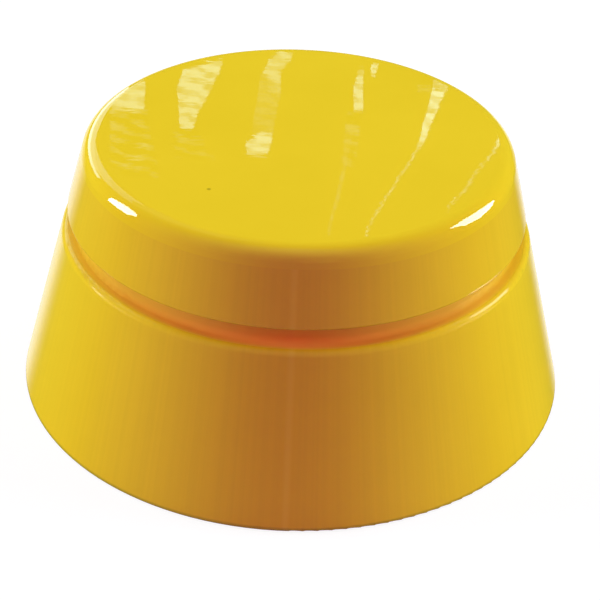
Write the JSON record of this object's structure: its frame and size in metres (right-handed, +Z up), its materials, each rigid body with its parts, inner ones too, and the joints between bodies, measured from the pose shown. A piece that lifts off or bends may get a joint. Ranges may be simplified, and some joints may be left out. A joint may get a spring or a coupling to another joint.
{
  "type": "raised pavement marker",
  "caption": "Round tapered yellow road marker: a bolt-down skirt on a ribbed core with a screw-on cap, parted by a shadow groove; it shows lane edges and rumbles under a wheel.",
  "frame": {"origin": "centre of the underside, on the road surface", "axes": "+Z up along the marker's axis; +X to the right and -Y towards the viewer; the marker is round, so the two are interchangeable"},
  "size_m": [0.1998, 0.1996, 0.095],
  "materials": {
    "shell_plastic": "glossy traffic-yellow moulding with a faint ripple",
    "cap_plastic": "glossy traffic-yellow moulding with a faint ripple",
    "black_plastic": "fine-grained black glass-filled polypropylene",
    "pad_rubber": "matt black butyl rubber",
    "seal_rubber": "smooth black nitrile rubber",
    "slip_plastic": "waxy natural acetal",
    "zinc_steel": "zinc-plated steel",
    "screw_steel": "zinc-plated steel, passivated",
    "brass": "turned brass"
  },
  "bodies": {
    "base": {"base_shell": "shell_plastic", "bottom_plate": "black_plastic", "bedding_pad": "pad_rubber", "anchor_sleeves": "zinc_steel", "shell_screws": "screw_steel", "rib_core": "black_plastic", "thread_inserts": "brass", "load_plate": "zinc_steel", "plate_screws": "screw_steel", "neck_seal": "seal_rubber"},
    "slip_ring": {"slip_ring": "slip_plastic"},
    "cap": {"top_cap": "cap_plastic", "impact_pad": "pad_rubber"}
  },
  "joints": [
    {"name": "cap_turn", "type": "hinge", "parent": "base", "child": "slip_ring", "pos_m": [0, 0, 0.0737], "axis": [0, 0, 1], "range_deg": [0, 720]},
    {"name": "cap_rise", "type": "slide", "parent": "slip_ring", "child": "cap", "axis": [0, 0, 1], "range_m": [0, 0.048]}
  ],
  "couplings": [
    {"joint": "cap_rise", "follows": "cap_turn", "m_per_rad": 0.0038197}
  ]
}
